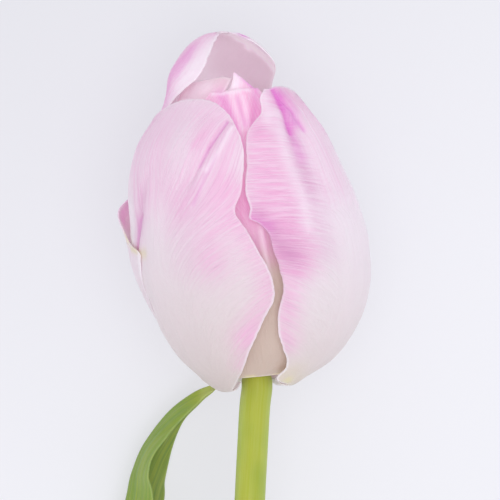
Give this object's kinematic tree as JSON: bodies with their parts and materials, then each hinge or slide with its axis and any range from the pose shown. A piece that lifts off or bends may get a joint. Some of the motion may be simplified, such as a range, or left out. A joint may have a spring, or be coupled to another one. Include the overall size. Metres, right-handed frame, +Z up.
{
  "type": "cut parrot tulip",
  "caption": "Single cut parrot tulip, picked: a nearly closed pale pink bloom with softly waved petals on a bent green stem with a channelled leaf, lying down.",
  "frame": {"origin": "middle of the flower's footprint, on the surface it lies on", "axes": "+Y along the flower from the cut stem end to the bloom's tip, +Z up from the surface"},
  "size_m": [0.0526, 0.2969, 0.0487],
  "materials": {
    "petal_outer": "satin",
    "petal_inner": "satin",
    "stem": "satin",
    "leaf": "satin",
    "pistil": "satin"
  },
  "bodies": {
    "root": {"stem": "stem", "leaf": "leaf", "petal_front_left": "petal_outer", "petal_front_right": "petal_outer", "petal_hood": "petal_outer", "petal_inner_front": "petal_inner", "petal_inner_left": "petal_inner", "petal_inner_right": "petal_inner", "pistil_and_stamens": "pistil"}
  },
  "joints": []
}
